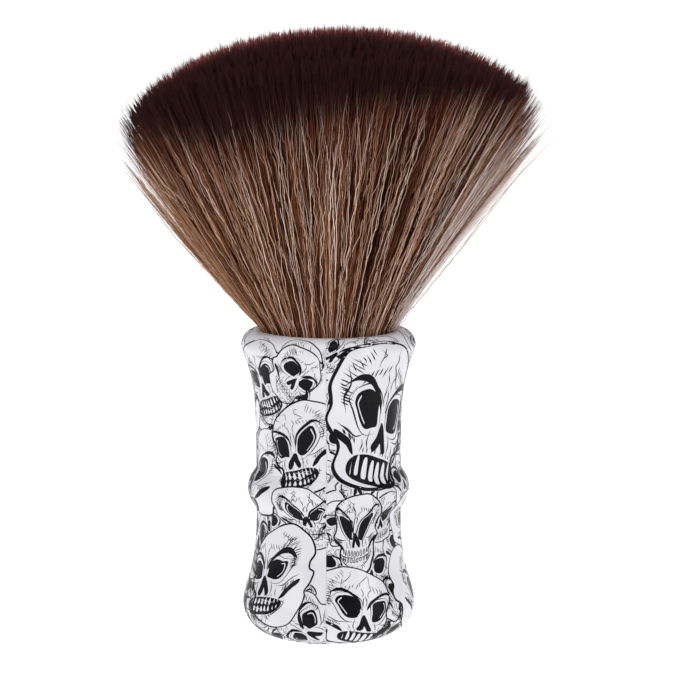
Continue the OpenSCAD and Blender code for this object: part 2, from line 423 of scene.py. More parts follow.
# One skull, on a frame where its cranium is two units wide. It is drawn full face and then
# turned, tilted and set in its place, so that no two are alike. A larger one throws a black
# shadow on what lies behind it, and its teeth are left white in a black mouth.
def draw_skull(sheet, u, v, size, tilt=0.0, look=0.0, scowl=0.15, jaw=True, bold=1.0, tall=1.0, seed=0):
    rng = np.random.default_rng(seed)
    phase = rng.uniform(0, 6.3, 4)
    pen = 0.25 * bold * (0.55 + size / 16)
    stretch = tall * rng.uniform(0.95, 1.08)

    def put(points, face=True):
        """From the skull's own frame to the sheet. Features on the face turn with the look."""
        p = np.array(points, float)
        if face:
            p[:, 0] = np.sin(np.arcsin(np.clip(p[:, 0] * 0.9, -0.98, 0.98)) + 0.75 * look) / 0.9
        p[:, 0] += -0.3 * look * (p[:, 1] - 0.05)
        p[:, 0] *= 1 + 0.14 * abs(look)
        p[:, 1] *= stretch
        p += 0.022 * np.stack([np.sin(5.1 * p[:, 1] + phase[0]) + np.sin(9 * p[:, 0] + phase[1]),
                               np.sin(4.3 * p[:, 0] + phase[2]) + np.sin(8 * p[:, 1] + phase[3])], -1)
        turned = np.stack([p[:, 0] * math.cos(tilt) - p[:, 1] * math.sin(tilt),
                           p[:, 0] * math.sin(tilt) + p[:, 1] * math.cos(tilt)], -1)
        return turned * size + np.array([u, v])

    def frown(points, sign=1, rough=0.0):
        """Slants the brow, roughens the shape and sets it left or right."""
        p = np.array(points, float)
        p[:, 1] += scowl * (p[:, 0] - 0.4) * 1.6
        return (p + rng.normal(0, rough, p.shape)) * (sign, 1)

    def line(points, width, rough=0.012):
        """A line on both halves of the face, each a little rough."""
        for sign in (1, -1):
            shaky = np.array(points) + rng.normal(0, rough, (len(points), 2))
            sheet.stroke(put(curve(shaky * (sign, 1))), width * pen)

    half = [(0, 1.12), (0.46, 1.05), (0.85, 0.77), (1.0, 0.34), (0.91, 0.04), (0.87, -0.12), (0.96, -0.3),
            (0.86, -0.5)]
    if jaw:
        half += [(0.7, -0.66), (0.72, -0.84), (0.68, -1.12), (0.46, -1.43), (0.16, -1.54)]
    else:
        half += [(0.66, -0.7), (0.63, -0.95), (0.5, -1.19), (0.14, -1.27)]
    loop = np.array(half + [(-x, y) for x, y in half[:0:-1]])
    outline = put(curve(loop + rng.normal(0, 0.022, loop.shape), closed=True), face=False)
    if size > 6:
        shadow = outline + size * rng.uniform(0.02, 0.055) * np.array([rng.choice((-1, 1)), -0.8]) * bold
        sheet.figure(shadow)
        sheet.fill(shadow)
    sheet.figure(outline)
    sheet.stroke(np.vstack([outline, outline[:2]]), 1.7 * pen, taper=False)

    # Sockets, the bone's edge round them, black brows over them, the cheeks' hollows and the nose
    edge_rough = 0.014
    for sign in (1, -1):
        eye = frown([(0.15, 0.0), (0.19, 0.2), (0.38, 0.29), (0.6, 0.23), (0.7, 0.03), (0.63, -0.19),
                     (0.44, -0.31), (0.24, -0.24), (0.16, -0.14)], sign, 0.03)
        middle = eye.mean(0)
        eye = (eye - middle) * rng.uniform(0.9, 1.05) + middle
        glint = (eye[3:7] - middle) * 0.8 + middle
        thin = np.vstack([curve(glint), curve((glint - middle) * 0.88 + middle)[::-1]])
        sheet.fill(put(curve(eye, closed=True)), [put(thin)] if size > 7 else [])
        ring = (eye - middle) * 1.27 + middle
        sheet.stroke(put(curve(ring[[8, 0, 1, 2, 3, 4]])), 0.9 * pen)
        sheet.stroke(put(curve((ring[[3, 4, 5, 6, 7]] - middle) * 1.08 + middle)), 0.9 * pen)
        brow = frown([(0.06, 0.1), (0.17, 0.34), (0.44, 0.46), (0.74, 0.4), (0.88, 0.12), (0.73, 0.31),
                      (0.45, 0.37), (0.23, 0.27), (0.12, 0.12)], sign, edge_rough)
        sheet.fill(put(curve(brow, closed=True)))
        hollow = np.array([(0.93, -0.4), (0.74, -0.5), (0.6, -0.6), (0.5, -0.76), (0.6, -0.73), (0.72, -0.63),
                           (0.9, -0.52)])
        sheet.fill(put(curve((hollow + rng.normal(0, edge_rough, hollow.shape)) * (sign, 1), closed=True)))
    nose = np.array([(0, -0.17), (0.08, -0.25), (0.16, -0.44), (0.22, -0.62), (0.14, -0.68), (0.05, -0.6),
                     (0, -0.5), (-0.05, -0.6), (-0.14, -0.68), (-0.22, -0.62), (-0.16, -0.44),
                     (-0.08, -0.25)])
    sheet.fill(put(curve(nose + rng.normal(0, edge_rough, nose.shape), closed=True)))

    # The bridge, the temples, the cheekbones and the upper jaw
    line([(0.03, 0.03), (0.07, 0.2), (0.02, 0.38)], 1.0)
    line([(0.1, 0.32), (0.08, 0.46), (0.17, 0.6)], 0.8)
    line([(0.92, 0.6), (0.82, 0.36), (0.86, 0.1), (0.8, -0.1)], 1.1)
    line([(0.92, -0.28), (0.76, -0.35), (0.6, -0.44), (0.4, -0.42)], 1.2)
    line([(0.27, -0.3), (0.31, -0.52), (0.28, -0.68)], 0.9)
    line([(0.42, -0.5), (0.4, -0.62), (0.44, -0.7)], 0.7)

    # Teeth, row under row
    mouth = [(0, -0.73), (0.3, -0.73), (0.5, -0.78), (0.6, -0.9)]
    mouth += [(0.56, -1.08), (0.36, -1.22), (0, -1.25)] if jaw else [(0.56, -1.08), (0.34, -1.19), (0, -1.21)]
    rows = [(-0.78, -0.97), (-1.02, -1.18)] if jaw else [(-0.8, -1.13)]
    count = 5 if size > 6 and jaw else 4
    edges = 0.54 * np.sin(np.linspace(0, 1.3, count + 1)) / math.sin(1.3)
    inset = min(0.03, 0.13 * pen)
    teeth = []
    for top, foot in rows:
        for sign in (1, -1):
            for a, b in zip(edges, edges[1:]):
                low = foot + rng.normal(0, 0.012) + 0.02 * (a > 0.3)
                bend = 0.1 * a
                a, b = a + inset, b - inset
                middle = (a + b) / 2
                tooth = np.array([(a + 0.01, top - 0.04), (middle, top + 0.02), (b - 0.01, top - 0.04),
                                  (b, low + 0.04), (middle + 0.01, low), (a, low + 0.04)])
                teeth.append(put(curve((tooth + (0, bend)) * (sign, 1), closed=True, fine=4)))
    if size > 7.5:
        sheet.fill(put(curve(mouth + [(-x, y) for x, y in mouth[-2:0:-1]], closed=True)), teeth)
    else:
        for tooth in teeth:
            sheet.stroke(np.vstack([tooth, tooth[:1]]), 0.8 * pen, False)
        line([(0.0, -1.0), (0.3, -0.985), (0.54, -0.91), (0.66, -0.8)], 1.3)
    if jaw:
        line([(0.64, -0.8), (0.6, -1.0), (0.44, -1.22), (0.22, -1.32)], 1.0)
        line([(0.12, -1.33), (0.05, -1.4), (0.0, -1.37)], 0.8)
        line([(0.3, -1.3), (0.2, -1.43)], 0.7)

    # Hatching in the hollows and cracks in the cranium
    def hatch(start, end, direction, count, width=0.6):
        start, end, direction = (np.array(p, float) for p in (start, end, direction))
        for sign in (1, -1):
            for i in range(count):
                a = start + (end - start) * (i + rng.uniform(-0.2, 0.2)) / count
                b = a + direction * rng.uniform(0.6, 1.3)
                p = np.array([a, (a + b) / 2 + rng.normal(0, 0.008, 2), b]) * (sign, 1)
                sheet.stroke(put(curve(p)), width * pen)

    hatch((0.98, 0.4), (0.88, -0.05), (-0.16, -0.03), 8, 0.8)
    hatch((0.9, 0.76), (1.0, 0.44), (-0.26, -0.1), 5, 0.6)
    hatch((0.62, 1.0), (0.94, 0.62), (-0.1, -0.14), 6)
    hatch((0.84, -0.36), (0.54, -0.5), (-0.04, -0.11), 6, 0.9)
    hatch((0.14, 0.72), (0.66, 0.54), (0.05, -0.15), 6, 0.8)
    hatch((0.1, -0.7), (0.44, -0.72), (0.0, 0.07), 4, 0.7)
    if jaw:
        hatch((0.68, -0.95), (0.3, -1.42), (-0.08, 0.1), 8, 0.8)
        hatch((0.08, -1.27), (0.34, -1.24), (0.0, -0.07), 4)
    for start in rng.uniform(-0.6, 0.6, 2 if size > 5 else 1):
        at = np.array([start, 1.02 - 0.2 * start**2])
        crack = [at]
        for _ in range(int(rng.integers(4, 8))):
            at = at + (rng.normal(0, 0.07), -rng.uniform(0.05, 0.11))
            crack.append(at)
            if rng.random() < 0.35:
                twig = [at, at + rng.normal(0, 0.07, 2), at + rng.normal(0, 0.12, 2)]
                sheet.stroke(put(twig), 0.6 * pen)
        sheet.stroke(put(crack), 0.9 * pen)


# First rows of small skulls all over the sheet, and then the larger ones over them
drawing = Drawing()
rng = np.random.default_rng(5)
columns, floors = 11, 8
for row in range(floors):
    for column in range(columns):
        u = (column + 0.5 * (row % 2) + rng.normal(0, 0.12)) * sheet_width / columns
        v = (row + 0.4 + rng.normal(0, 0.1)) * sheet_height / floors
        draw_skull(drawing, u, v, rng.uniform(4.6, 5.9), rng.normal(0, 0.4), rng.uniform(-0.9, 0.9),
                   rng.uniform(0, 0.5), rng.random() < 0.6, 0.95, 1.0, int(rng.integers(1e6)))
# place round the sheet, height, size, tilt, look, scowl, jaw, weight of the pen, tallness
figures = [
    (36, 70, 8, 0.2, 0.5, 0.2, True, 1.0, 1.0), (52, 52, 10, -0.2, -0.4, 0.3, True, 1.1, 1.0),
    (72, 62, 12.5, 0.2, 0.3, 0.4, True, 1.35, 1.2), (88, 50, 9, -0.1, 0.6, 0.25, True, 1.0, 1.1),
    (60, 28, 11, 0.1, 0.4, 0.2, True, 1.1, 1.0), (82, 24, 10, -0.25, -0.5, 0.35, True, 1.0, 1.1),
    (42, 22, 9, 0.3, -0.3, 0.1, False, 1.0, 1.0), (96, 68, 8, 0.3, -0.6, 0.2, True, 0.9, 1.0),
    (98, 30, 8, -0.15, 0.4, 0.1, True, 0.9, 1.1), (70, 8, 8, 0.2, 0.2, 0.3, False, 1.0, 1.0),
    (52, 10, 7, -0.3, -0.2, 0.2, False, 0.9, 1.0), (92, 9, 8, 0.1, 0.5, 0.2, False, 1.0, 1.0),
    (107, 72, 8.5, 0.35, -0.2, 0.2, True, 0.85, 1.0), (118, 74, 6, -0.9, 0.3, 0.1, True, 0.9, 1.0),
    (29, 32, 7.5, 0.2, 0.5, 0.2, True, 0.9, 1.0), (106.5, 47, 8.6, 0.1, -0.85, 0.3, False, 0.8, 1.2),
    (119.4, 56, 9.4, 0.3, -0.42, 0.25, True, 0.95, 0.92), (27, 15, 8.5, -0.35, 0.85, 0.1, False, 0.9, 1.0),
    (118.5, 37.5, 7.2, -0.05, 0.3, 0.6, False, 1.1, 0.8),
    (8.6, 33.5, 6.6, 0.03, -0.1, 0.65, True, 1.15, 1.15),
    (121, 8.5, 7.4, 1.1, -0.2, 0.15, False, 0.8, 0.9), (112.5, 22, 10, 0.25, -0.6, 0.1, True, 1.05, 0.9),
    (6.5, 13, 9.6, -0.2, 0.35, 0.25, False, 0.9, 0.85),
    (13.8, 63.5, 13.2, -0.26, 0.28, 0.25, False, 1.5, 1.25),
]
for number, figure in enumerate(figures):
    draw_skull(drawing, *figure, seed=100 + number)


def faced_piece(name, points, corners, counts, finish):
    """A smooth piece from its points and from its faces, as their corners and how many each face has."""
    mesh = bpy.data.meshes.new(name)
    mesh.vertices.add(len(points))
    mesh.vertices.foreach_set("co", points.astype(np.float32).ravel())
    mesh.loops.add(len(corners))
    mesh.loops.foreach_set("vertex_index", corners.astype(np.int32))
    mesh.polygons.add(len(counts))
    mesh.polygons.foreach_set("loop_start", (np.cumsum(counts) - counts).astype(np.int32))
    mesh.polygons.foreach_set("loop_total", counts.astype(np.int32))
    mesh.update(calc_edges=True)
    mesh.shade_smooth()
    mesh.materials.append(finish.material)
    piece = bpy.data.objects.new(name, mesh)
    bpy.context.collection.objects.link(piece)
    return piece


def ink_mesh(name, bars, finish):
    """Flat closed bars of ink on the film, shaded as smoothly as the film itself."""
    sizes = np.array([len(left) for left, _ in bars])
    (a, na), (b, nb) = (wrap(*np.vstack(edge).T) for edge in zip(*bars))
    keel = (a + b) / 2 - na * ink_sink
    ring = np.stack([a + na * ink_lift, b + nb * ink_lift, keel], 1)
    normals = np.stack([na, nb, na], 1)
    first = 3 * (np.cumsum(sizes) - sizes)
    last = first + 3 * (sizes - 1)
    base = np.setdiff1d(3 * np.arange(len(a)), last)[:, None]
    sides = np.concatenate([base + (j, (j + 1) % 3, 3 + (j + 1) % 3, 3 + j) for j in range(3)])
    ends = np.concatenate([first[:, None] + (2, 1, 0), last[:, None] + (0, 1, 2)])
    corners = np.concatenate([sides.ravel(), ends.ravel()])
    counts = np.concatenate([np.full(len(sides), 4), np.full(len(ends), 3)])
    piece = faced_piece(name, ring.reshape(-1, 3), corners, counts, finish)
    piece.data.normals_split_custom_set_from_vertices(normals.reshape(-1, 3))
    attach(piece, "root")


ink = Finish("black_print_ink", Coat_Weight=0.08, Coat_Roughness=0.12, Specular_IOR_Level=0.08)
grain = ink.noise(ink.place(), 1500, 2)
ink.show(
    Base_Color=ink.ramp(grain, [(0.3, tint(7, 6, 8)), (0.7, tint(14, 13, 15))]),
    Roughness=grain * 0.1 + 0.3,
)
bars = drawing.bars()
middles = [left[:, 0].mean() for left, _ in bars]
near_front = [middle < sheet_width / 4 or middle > sheet_width * 0.75 for middle in middles]
ink_mesh("ink_drawing_front", [bar for bar, near in zip(bars, near_front) if near], ink)
ink_mesh("ink_drawing_back", [bar for bar, near in zip(bars, near_front) if not near], ink)


# The base cap: satin white plastic, pressed into the bottom of the handle. Its foot is scuffed
# by the shelf, in fine rings from the tool that cut the mould.
cap_plastic = Finish("satin_cap_plastic", Coat_Weight=0.05)
spot = cap_plastic.place()
rings = cap_plastic.add("TexWave", {"wave_type": "RINGS", "rings_direction": "Z"},
                        {"Vector": spot, "Scale": 520, "Distortion": 0.4, "Detail": 1.0})
scuff = cap_plastic.noise(cap_plastic.stretch(spot, (1, 6, 1)), 300, 4, 0.7)
cap_plastic.show(
    Base_Color=cap_plastic.ramp(scuff, [(0.35, tint(196, 196, 197)), (0.65, tint(218, 218, 219))]),
    Roughness=scuff * 0.3 + 0.35,
    Normal=cap_plastic.bump(rings, 0.01 * MM, 0.4),
)
dress("base_cap", cap_plastic)


# Inside the socket: a grey moulded cup holds the fibres' roots and is glued in with hot-melt
# adhesive. Amber resin locks the roots in the cup, a waxed thread is wound round them, and a
# wedge in their middle spreads them into a fan.
cup_plastic = Finish("grey_cup_plastic")
grain = cup_plastic.noise(cup_plastic.place(), 700, 3)
cup_plastic.show(
    Base_Color=cup_plastic.ramp(grain, [(0.3, tint(138, 138, 140)), (0.7, tint(152, 152, 154))]),
    Roughness=grain * 0.2 + 0.4,
    Normal=cup_plastic.bump(grain, 0.02 * MM, 0.5),
)
dress("knot_cup", cup_plastic)

adhesive = Finish("hot_melt_adhesive", Subsurface_Weight=0.2, Subsurface_Scale=0.5 * MM)
blobs = adhesive.noise(adhesive.place(), 260, 2)
adhesive.show(
    Base_Color=adhesive.ramp(blobs, [(0.3, tint(196, 178, 128)), (0.7, tint(222, 210, 172))]),
    Roughness=blobs * 0.2 + 0.22,
    Normal=adhesive.bump(blobs, 0.15 * MM, 0.6),
)
dress("cup_adhesive", adhesive)

resin = Finish("amber_potting_resin", Coat_Weight=0.4, Coat_Roughness=0.1)
swirl = resin.noise(resin.place(), 180, 3, 0.6)
resin.show(
    Base_Color=resin.ramp(swirl, [(0.3, tint(120, 74, 26)), (0.7, tint(196, 138, 62))]),
    Roughness=swirl * 0.15 + 0.12,
    Normal=resin.bump(swirl, 0.08 * MM, 0.3),
)
dress("root_resin", resin)

thread = Finish("waxed_thread", Sheen_Weight=0.3)
twist = thread.add("TexWave", {"bands_direction": "DIAGONAL"},
                   {"Vector": thread.place(), "Scale": 900, "Distortion": 1.5})
thread.show(
    Base_Color=thread.ramp(twist, [(0.2, tint(26, 26, 28)), (0.8, tint(74, 74, 76))]),
    Roughness=twist * 0.2 + 0.5,
    Normal=thread.bump(twist, 0.08 * MM, 0.8),
)
dress("binding_thread", thread)

wedge_plastic = Finish("natural_wedge_plastic", Subsurface_Weight=0.1, Subsurface_Scale=1 * MM)
flow = wedge_plastic.noise(wedge_plastic.stretch(wedge_plastic.place(), (1, 1, 0.2)), 420, 3)
wedge_plastic.show(
    Base_Color=wedge_plastic.ramp(flow, [(0.3, tint(186, 172, 142)), (0.7, tint(208, 196, 170))]),
    Roughness=flow * 0.15 + 0.35,
    Normal=wedge_plastic.bump(flow, 0.03 * MM, 0.5),
)
dress("spreader_wedge", wedge_plastic)


# The fan's shape. Its fibres leave the handle's mouth in a round bundle and spread, and their
# tips are trimmed to an oval crown that is a little higher on the right.
bundle_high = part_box("fibre_bundle")[1]
silver_skin = 0.6 * MM
half_width = bundle_high.x + silver_skin
half_depth = bundle_high.y + silver_skin
mouth_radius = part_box("knot_cup")[1].x + 0.6 * MM
crown_height = 29.7 * MM
crown_fall = 8 * MM
crown_drop = 0.3 * MM
crown_rise = 0.034
end_lift = 2.2 * MM
lean = 0.5 * MM


def crown(across, deep):
    """Height of the trimmed tips over a place in the fan, in shares of its half width and half depth."""
    arch = np.sqrt(np.clip(1 - across**2, 0, 1))
    rise = crown_rise * across * half_width + end_lift * np.clip(across, 0, 1) ** 6
    return fan_top - crown_drop - crown_height * (1 - arch) - crown_fall * deep**2 + rise


def fibre_lines(turn, share, steps, short=0.0, tip_turn=None, low=-0.12):
    """Centre lines of fibres from the mouth to the crown, as fibres by steps by XYZ, and their lengths.
    turn is the angle round the fan, share how far out from its middle, and short how far a tip stays
    under the crown. low is how far below the mouth a root starts, as a share of the fibre's length."""
    tip_turn = turn if tip_turn is None else tip_turn
    across, deep = share * np.cos(tip_turn), share * np.sin(tip_turn)
    tip = np.stack([lean + across * half_width, deep * half_depth, crown(across, deep)], -1)
    foot = np.stack([share * mouth_radius * np.cos(turn), share * mouth_radius * np.sin(turn),
                     np.full_like(turn, rim_top + 0.3 * MM)], -1)
    length = np.linalg.norm(tip - foot, axis=-1)
    along = low + (1 - short / length - low)[:, None] * np.linspace(0, 1, steps)
    out = np.clip(along, 0, None) ** (1.02 + 0.09 * np.cos(tip_turn))[:, None]
    return foot[:, None] + (tip - foot)[:, None] * np.stack([out, out, along], -1), length - short


def even_turns(count, rng, low=0.0, high=2 * np.pi):
    """Angles that fall evenly along the oval outline of the fan."""
    grid = np.linspace(low, high, 2000)
    pace = np.hypot(half_width * np.sin(grid), half_depth * np.cos(grid))
    total = np.concatenate([[0], np.cumsum((pace[1:] + pace[:-1]) / 2)])
    return np.interp(rng.uniform(0, total[-1], count), total, grid)


def sway(line, turn, lock, crimp, wave, wander, rng):
    """Bends fibres sideways and outwards, by a crimp of that height and wave length and a slow wander.
    Fibres of one lock bend nearly together."""
    steps = line.shape[1]
    locks = lock.max() + 1
    t = np.linspace(0, 1, steps)[None, :]
    length = np.linalg.norm(line[:, -1] - line[:, 0], axis=-1)[:, None]
    ease = np.clip(t * 6, 0, 1)
    side = np.stack([-np.sin(turn), np.cos(turn), 0 * turn], -1)[:, None]
    front = np.stack([np.cos(turn), np.sin(turn), 0 * turn], -1)[:, None]
    for way, part in ((side, 1.0), (front, 0.45)):
        start = rng.uniform(0, 2 * np.pi, (locks, 3))[lock] + rng.normal(0, 0.8, (len(turn), 3))
        pace = rng.uniform(0.7, 1.35, (locks, 1))[lock]
        rate = t * length / wave * pace + 0.5 * np.sin(4 * t + start[:, 2:])
        swell = 0.65 + 0.35 * np.sin(7 * t + start[:, 1:2])
        ripple = crimp * np.sin(2 * np.pi * rate + start[:, :1]) * swell
        drift = wander * t * np.sin(2.2 * np.pi * t * pace + start[:, 2:])
        line = line + way * ((ripple + drift) * part * ease)[..., None]
    return line


# The brown fibres' finish. Across its map a fibre goes from dark brown through red and golden
# brown to tan, and along it from the dyed tip, near black with a red edge, to the plain root.
map_reach = 80 * MM
dye_middle = 9 * MM


def fibre_finish(name, tones, shine):
    finish = Finish(name, Specular_IOR_Level=shine)
    spots = finish.add("UVMap", {"uv_map": "OFBake"})
    tone = finish.add("SeparateXYZ", {}, {0: spots}, output=0)
    away = finish.add("SeparateXYZ", {}, {0: spots}, output=1)
    grain = finish.noise(finish.stretch(spots, (220, 26, 1)), 1.0, 2)
    plain = finish.ramp(tone + (grain - 0.5) * 0.12, tones)
    soft = away + (grain - 0.5) * 0.09
    dye_shares = [(0.0, 1), (0.05, 0.96), (0.113, 0.62), (0.18, 0.26), (0.25, 0.1), (0.33, 0)]
    dye = finish.ramp(soft, [(stop, (share, share, share, 1)) for stop, share in dye_shares])
    dyed = finish.ramp(away, [(0.0, tint(48, 20, 19)), (0.085, tint(46, 18, 17)), (0.15, tint(84, 28, 21)),
                              (0.3, tint(92, 38, 27))])
    finish.show(Base_Color=finish.blend(dye, plain, dyed), Roughness=grain * 0.2 + 0.45)
    return finish


brown_fibre = fibre_finish("brown_fibre_dyed_tips", [
    (0.0, tint(24, 10, 6)), (0.2, tint(58, 27, 16)), (0.4, tint(102, 56, 33)), (0.58, tint(136, 82, 52)),
    (0.78, tint(170, 122, 90)), (1.0, tint(208, 176, 152))], 0.1)


def dye_depth(turn):
    """How much further than usual the dye reaches down: most left of the middle, least on the right."""
    across = np.cos(turn)
    left_end, right_end = 60 * np.clip(-across - 0.45, 0, None) ** 2, 9 * np.clip(across - 0.6, 0, None)
    reach = 13.4 - 8.5 * across - left_end - right_end
    return np.clip(reach, 1.5, None) * MM - dye_middle


def right_flank_shade(turn):
    """How near a place round the fan is to the middle of a right-hand flank, from 0 to 1: how much painted
    shade darkens the fibres' tone there.
    """
    return np.clip(np.sin(2 * turn) * np.sign(np.sin(turn)), 0, 1)


def brown_tone(turn, rng, spread=0.13):
    """Broad streaks of red, golden and darker brown round the fan, with a spread from fibre to fibre, and
    painted shade that darkens the right-hand flanks.
    """
    streak = (np.sin(9 * turn + 2.6) + np.sin(23 * turn + 4.1) + 0.8 * np.sin(41 * turn + 0.7)
              + 0.8 * np.sin(83 * turn)) * 0.032
    ends = 0.15 * np.cos(turn) ** 8 + 0.08 * np.clip(np.cos(turn), 0, 1) ** 16
    return 0.36 + streak + ends - 0.13 * right_flank_shade(turn) + rng.normal(0, spread, turn.shape)


def fibre_mesh(name, line, length, thick, tone, dye, finish, point=0.25):
    """One mesh of three-sided closed fibres along the lines. Its map holds a fibre's tone across and the
    distance from its dyed tip upwards, so that the finish needs nothing else."""
    count, steps, _ = line.shape
    run = np.gradient(line, axis=1)
    run /= np.linalg.norm(run, axis=-1, keepdims=True) + 1e-12
    aslant = (0.31, 0.95, 0.05)  # no fibre runs this way
    side = np.cross(run, aslant)
    side /= np.linalg.norm(side, axis=-1, keepdims=True) + 1e-12
    back = np.cross(run, side)
    taper = np.interp(np.linspace(0, 1, steps), [0, 0.55, 0.88, 1], [0.9, 1, 0.8, point])
    radius = (thick[:, None] * taper)[..., None]
    ring = [line + radius * (math.cos(a) * side + math.sin(a) * back) for a in np.radians((30, 150, 270))]
    away = (1 - np.linspace(0, 1, steps)) * length[:, None]
    v = np.clip((away - dye[:, None]) / map_reach, 0.002, 0.998)
    column = 0.0007
    u = np.clip(tone, 0.01, 0.99)[:, None] + (np.arange(4) - 1.5) * column
    first = np.arange(count)[:, None] * steps * 3
    base = first + np.arange(steps - 1) * 3
    quads, spots = [], []
    for j in range(3):
        k = (j + 1) % 3
        quads.append(np.stack([base + j, base + k, base + 3 + k, base + 3 + j], -1))
        left, right = (np.broadcast_to(u[:, edge, None], base.shape) for edge in (j, j + 1))
        spots.append(np.stack([left, v[:, :-1], right, v[:, :-1], right, v[:, 1:], left, v[:, 1:]], -1))
    last = first + (steps - 1) * 3
    ends = np.concatenate([first + (2, 1, 0), last + (0, 1, 2)])
    end_v = np.concatenate([v[:, :1], v[:, -1:]]) + (0, 0.0008, 0)
    end_spots = np.stack([np.concatenate([u[:, :3]] * 2), end_v], -1)
    corners = np.concatenate([np.stack(quads, 2).ravel(), ends.ravel()])
    counts = np.concatenate([np.full(base.size * 3, 4), np.full(len(ends), 3)])
    piece = faced_piece(name, np.stack(ring, axis=2).reshape(-1, 3), corners, counts, finish)
    layer = piece.data.uv_layers.new(name="OFBake")
    all_spots = np.concatenate([np.stack(spots, 2).ravel(), end_spots.ravel()])
    layer.uv.foreach_set("vector", all_spots.astype(np.float32))
    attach(piece, "root")
    return piece


# The heart of the fan: a closed body of packed fibres under the loose ones. It only shows
# between them, and its dark brown is painted shade for the gaps between the fibres.
heart_share, heart_sides = 0.93, 72
heart_short = 4 * MM
heart_dye_from, heart_dye_over = 122 * MM, 20 * MM
turns = np.linspace(0, 2 * np.pi, heart_sides, endpoint=False)
flank, _ = fibre_lines(turns, np.full(heart_sides, heart_share), 26, heart_short, low=-0.06)
rings = list(flank.transpose(1, 0, 2))
for share in (0.75, 0.5, 0.25, 0.05):
    tips, _ = fibre_lines(turns, np.full(heart_sides, heart_share * share), 2, heart_short)
    rings.append(tips[:, -1])
faces = [(r * heart_sides + i, r * heart_sides + (i + 1) % heart_sides,
          (r + 1) * heart_sides + (i + 1) % heart_sides, (r + 1) * heart_sides + i)
         for r in range(len(rings) - 1) for i in range(heart_sides)]
faces.append(tuple(range(heart_sides))[::-1])
faces.append(tuple((len(rings) - 1) * heart_sides + i for i in range(heart_sides)))
mesh = bpy.data.meshes.new("fibre_heart")
mesh.from_pydata(np.concatenate(rings).tolist(), [], faces)
mesh.shade_smooth()
heart = bpy.data.objects.new("fibre_heart", mesh)
bpy.context.collection.objects.link(heart)
packed = Finish("packed_fibre_painted_shade", Roughness=0.7, Specular_IOR_Level=0.1)
spot = packed.place()
streaks = packed.noise(packed.stretch(spot, (1, 1, 0.05)), 1400, 3)
height = packed.add("SeparateXYZ", {}, {0: spot}, output=2)
# Painted shade: the heart's browns are kept dark to stand for the shadow between the loose fibres.
painted_shade_brown = packed.ramp(streaks, [(0.3, tint(30, 15, 10)), (0.7, tint(64, 36, 26))])
dyed_share = packed.add("Clamp", {}, {0: (height - heart_dye_from) / heart_dye_over})
packed.show(Base_Color=packed.blend(dyed_share, painted_shade_brown, tint(24, 11, 10)))
mesh.materials.append(packed.material)
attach(heart, "root")
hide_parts("fibre_bundle")


# The brown fibres of the flanks: straight filaments inside, and crimped ones in loose locks
# outside. Each is one extruded filament, and some on the outside end short of the crown.
def flank_fibres(name, seed, count, steps, layer, per_lock, crimp, wave, wander, thick):
    rng = np.random.default_rng(seed)
    locks = count // per_lock
    lock = np.arange(count) % locks
    centre = even_turns(locks, rng)
    turn = centre[lock] + rng.normal(0, 0.45 * MM, count) / (30 * MM)
    depth = rng.uniform(*layer, locks)[lock] + rng.normal(0, 0.004, count)
    short = np.abs(rng.normal(0, 0.9 * MM, count))
    short = short + np.where(rng.random(count) < 0.05, rng.uniform(0, 14 * MM, count), 0)
    narrow = np.clip(np.abs(np.cos(turn)) - 0.92, 0, None) / 0.08
    short += narrow * rng.uniform(-2.8 * MM, 4 * MM, count)
    turn = turn + narrow * rng.normal(0, 0.13, count)
    slant = rng.normal(0, 0.03, locks)[lock] + rng.normal(0, 0.01, count)
    line, length = fibre_lines(turn, depth, steps, short, turn + slant)
    line = sway(line, turn, lock, crimp, wave, wander, rng)
    # Deeper fibres get a darker tone: painted shade under the outer ones.
    tone = brown_tone(turn, rng, 0.18) + rng.normal(0, 0.135, locks)[lock] - 4 * (layer[1] - depth)
    fibre_mesh(name, line, length, rng.uniform(*thick, count) * MM, tone, dye_depth(turn) - short,
               brown_fibre)


for seed, name, layer in ((40, "fibres_inner", (0.9, 0.96)), (41, "fibres_middle", (0.93, 0.98))):
    flank_fibres(name, seed, count=1600, steps=11, layer=layer, per_lock=6, crimp=0.2 * MM, wave=24 * MM,
                 wander=0.7 * MM, thick=(0.08, 0.12))
for seed, name in ((50, "fibres_outer_a"), (51, "fibres_outer_b"), (52, "fibres_outer_c")):
    flank_fibres(name, seed, count=800, steps=41, layer=(0.96, 1.0), per_lock=4, crimp=0.19 * MM,
                 wave=8 * MM, wander=0.8 * MM, thick=(0.07, 0.12))
